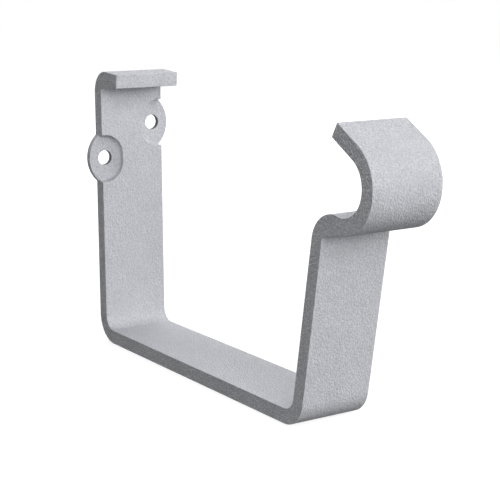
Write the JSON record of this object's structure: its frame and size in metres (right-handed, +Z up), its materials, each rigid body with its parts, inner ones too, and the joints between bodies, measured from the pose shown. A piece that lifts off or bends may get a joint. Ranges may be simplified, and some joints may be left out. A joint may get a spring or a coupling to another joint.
{
  "type": "gutter bracket",
  "caption": "Flat-strap bracket for a box gutter: fascia leg with a top lip and pressed screw pads, level seat, leaning front leg and open hook for the front bead.",
  "frame": {"origin": "on the fascia face, midway between the two screw holes", "axes": "+X away from the fascia, +Y along the gutter, +Z up"},
  "size_m": [0.1641, 0.0326, 0.101],
  "materials": {
    "bracket_metal": "mill finish, finely grained and matt"
  },
  "bodies": {
    "root": {"bracket": "bracket_metal"}
  },
  "joints": []
}
